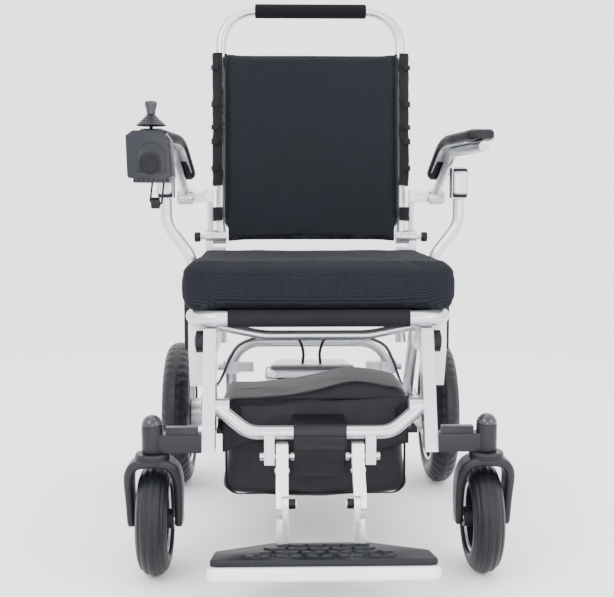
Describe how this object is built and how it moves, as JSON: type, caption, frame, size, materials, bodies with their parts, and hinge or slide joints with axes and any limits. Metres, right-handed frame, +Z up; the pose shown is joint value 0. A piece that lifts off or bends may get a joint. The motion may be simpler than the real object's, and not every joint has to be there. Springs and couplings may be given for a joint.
{
  "type": "power wheelchair",
  "caption": "Folding power wheelchair with mesh seat and backrest, flip-up armrests, joystick controller, hub-drive rear wheels, front casters and a folding footplate.",
  "frame": {"origin": "on the floor, under the middle of the overall footprint", "axes": "+X across the chair to the side without the joystick, -Y forwards, +Z up"},
  "size_m": [0.614, 0.9099, 0.9915],
  "materials": {
    "mesh_fabric": "woven, matt",
    "bag_fabric": "coated nylon",
    "tyre_rubber": "ribbed",
    "foam_grip": "closed-cell foam",
    "black_plastic": "fine grain",
    "graphite_paint": "satin powder coat",
    "white_paint": "gloss",
    "steel": "machined",
    "grey_plastic": "smooth",
    "silver_frame": "satin silver coat"
  },
  "bodies": {
    "chassis": {"seat_front_bar": "silver_frame", "seat_rails": "silver_frame", "seat_sleeve": "mesh_fabric", "seat_sling": "mesh_fabric", "seat_cushion": "mesh_fabric", "side_brackets": "white_paint", "side_guards": "black_plastic", "front_legs": "silver_frame", "leg_bushes": "black_plastic", "caster_arms": "graphite_paint", "kingpin_caps": "black_plastic", "rear_axles": "steel", "axle_plates": "silver_frame", "rear_side_tubes": "silver_frame", "lower_rails": "silver_frame", "rear_cross_tube": "silver_frame", "rear_hoop": "silver_frame", "hoop_clamps": "silver_frame", "battery_tray": "graphite_paint", "battery_case": "silver_frame", "motor_controller": "black_plastic", "motor_cables": "black_plastic", "storage_bag": "bag_fabric", "bag_flap": "bag_fabric", "footrest_crossbar": "silver_frame", "hanger_pins": "steel", "back_posts": "silver_frame", "back_hinges": "silver_frame", "armrest_mounts": "silver_frame", "armrest_posts": "silver_frame"},
    "left_caster": {"caster_fork_left": "graphite_paint"},
    "right_caster": {"caster_fork_right": "graphite_paint"},
    "left_caster_wheel": {"caster_rim_left": "graphite_paint", "caster_tyre_left": "tyre_rubber"},
    "right_caster_wheel": {"caster_rim_right": "graphite_paint", "caster_tyre_right": "tyre_rubber"},
    "left_rear_wheel": {"rear_rim_left": "graphite_paint", "rear_tyre_left": "tyre_rubber"},
    "right_rear_wheel": {"rear_rim_right": "graphite_paint", "rear_tyre_right": "tyre_rubber"},
    "footrest": {"footrest_hangers": "silver_frame"},
    "footplate_flap": {"footplate_stems": "silver_frame", "footplate": "silver_frame", "footplate_pad": "black_plastic"},
    "backrest": {"back_tubes": "silver_frame", "push_hoop": "silver_frame", "push_grip": "foam_grip", "back_panel": "mesh_fabric"},
    "left_arm": {"armrest_left": "silver_frame", "arm_pad_left": "black_plastic", "controller_housing": "graphite_paint", "controller_fittings": "black_plastic", "joystick_base": "black_plastic"},
    "right_arm": {"armrest_right": "silver_frame", "arm_pad_right": "black_plastic"},
    "gimbal": {"joystick_gimbal": "steel"},
    "stick": {"joystick_stick": "black_plastic"},
    "power_key": {"power_button": "grey_plastic"},
    "speed_key": {"speed_button": "grey_plastic"},
    "horn_key": {"horn_button": "grey_plastic"}
  },
  "joints": [
    {"name": "left_caster_swivel", "type": "hinge", "parent": "chassis", "child": "left_caster", "pos_m": [-0.264, -0.28, 0.2], "axis": [0, 0, 1], "continuous": true},
    {"name": "left_caster_spin", "type": "hinge", "parent": "left_caster", "child": "left_caster_wheel", "pos_m": [-0.264, -0.25, 0.09], "axis": [1, 0, 0], "continuous": true},
    {"name": "left_rear_spin", "type": "hinge", "parent": "chassis", "child": "left_rear_wheel", "pos_m": [-0.275, 0.305, 0.15], "axis": [1, 0, 0], "continuous": true},
    {"name": "left_armrest_flip", "type": "hinge", "parent": "chassis", "child": "left_arm", "pos_m": [-0.248, 0.19, 0.608], "axis": [-1, 0, 0], "range_deg": [0, 100]},
    {"name": "right_caster_swivel", "type": "hinge", "parent": "chassis", "child": "right_caster", "pos_m": [0.264, -0.28, 0.2], "axis": [0, 0, 1], "continuous": true},
    {"name": "right_caster_spin", "type": "hinge", "parent": "right_caster", "child": "right_caster_wheel", "pos_m": [0.264, -0.25, 0.09], "axis": [1, 0, 0], "continuous": true},
    {"name": "right_rear_spin", "type": "hinge", "parent": "chassis", "child": "right_rear_wheel", "pos_m": [0.275, 0.305, 0.15], "axis": [1, 0, 0], "continuous": true},
    {"name": "right_armrest_flip", "type": "hinge", "parent": "chassis", "child": "right_arm", "pos_m": [0.248, 0.19, 0.608], "axis": [-1, 0, 0], "range_deg": [0, 100]},
    {"name": "backrest_fold", "type": "hinge", "parent": "chassis", "child": "backrest", "pos_m": [0, 0.19, 0.528], "axis": [1, 0, 0], "range_deg": [0, 88]},
    {"name": "footrest_raise", "type": "hinge", "parent": "chassis", "child": "footrest", "pos_m": [0, -0.276, 0.198], "axis": [-1, 0, 0], "range_deg": [0, 45]},
    {"name": "footplate_flip", "type": "hinge", "parent": "footrest", "child": "footplate_flap", "pos_m": [0, -0.33, 0.136], "axis": [-1, 0, 0], "range_deg": [0, 90]},
    {"name": "joystick_pitch", "type": "hinge", "parent": "left_arm", "child": "gimbal", "pos_m": [-0.266, -0.222, 0.699], "axis": [1, 0, 0], "range_deg": [-10, 10], "stiffness_Nm_per_rad": 0.4},
    {"name": "joystick_roll", "type": "hinge", "parent": "gimbal", "child": "stick", "pos_m": [-0.266, -0.222, 0.699], "axis": [0, 1, 0], "range_deg": [-10, 10], "stiffness_Nm_per_rad": 0.4},
    {"name": "power_press", "type": "slide", "parent": "left_arm", "child": "power_key", "axis": [0, 0, -1], "range_m": [0, 0.0015], "stiffness_N_per_m": 400},
    {"name": "speed_press", "type": "slide", "parent": "left_arm", "child": "speed_key", "axis": [0, 0, -1], "range_m": [0, 0.0015], "stiffness_N_per_m": 400},
    {"name": "horn_press", "type": "slide", "parent": "left_arm", "child": "horn_key", "axis": [0, 0, -1], "range_m": [0, 0.0015], "stiffness_N_per_m": 400}
  ]
}
